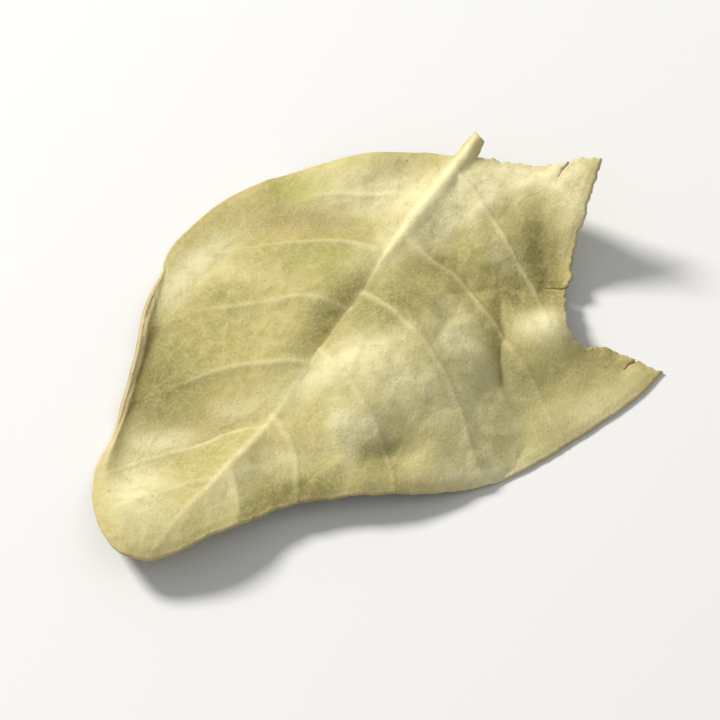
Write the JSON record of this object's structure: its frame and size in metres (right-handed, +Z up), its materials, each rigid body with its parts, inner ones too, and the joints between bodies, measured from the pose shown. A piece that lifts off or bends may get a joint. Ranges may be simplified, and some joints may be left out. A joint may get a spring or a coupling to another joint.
{
  "type": "dried moringa leaflet",
  "caption": "Dried, partly torn moringa leaflet lying underside up, arched across, with a raised midrib, side veins and a turned-up margin.",
  "frame": {"origin": "on the surface that the leaflet lies on, below the middle of its box", "axes": "+Y along the midrib from the tip to the stalk end, +X across the blade towards its torn side, +Z up, out of the underside, which faces up"},
  "size_m": [0.017, 0.0214, 0.0039],
  "materials": {
    "dried_leaf": "matt, dry and slightly velvety, pale khaki green with paler ribs"
  },
  "bodies": {
    "root": {"leaflet": "dried_leaf"}
  },
  "joints": []
}
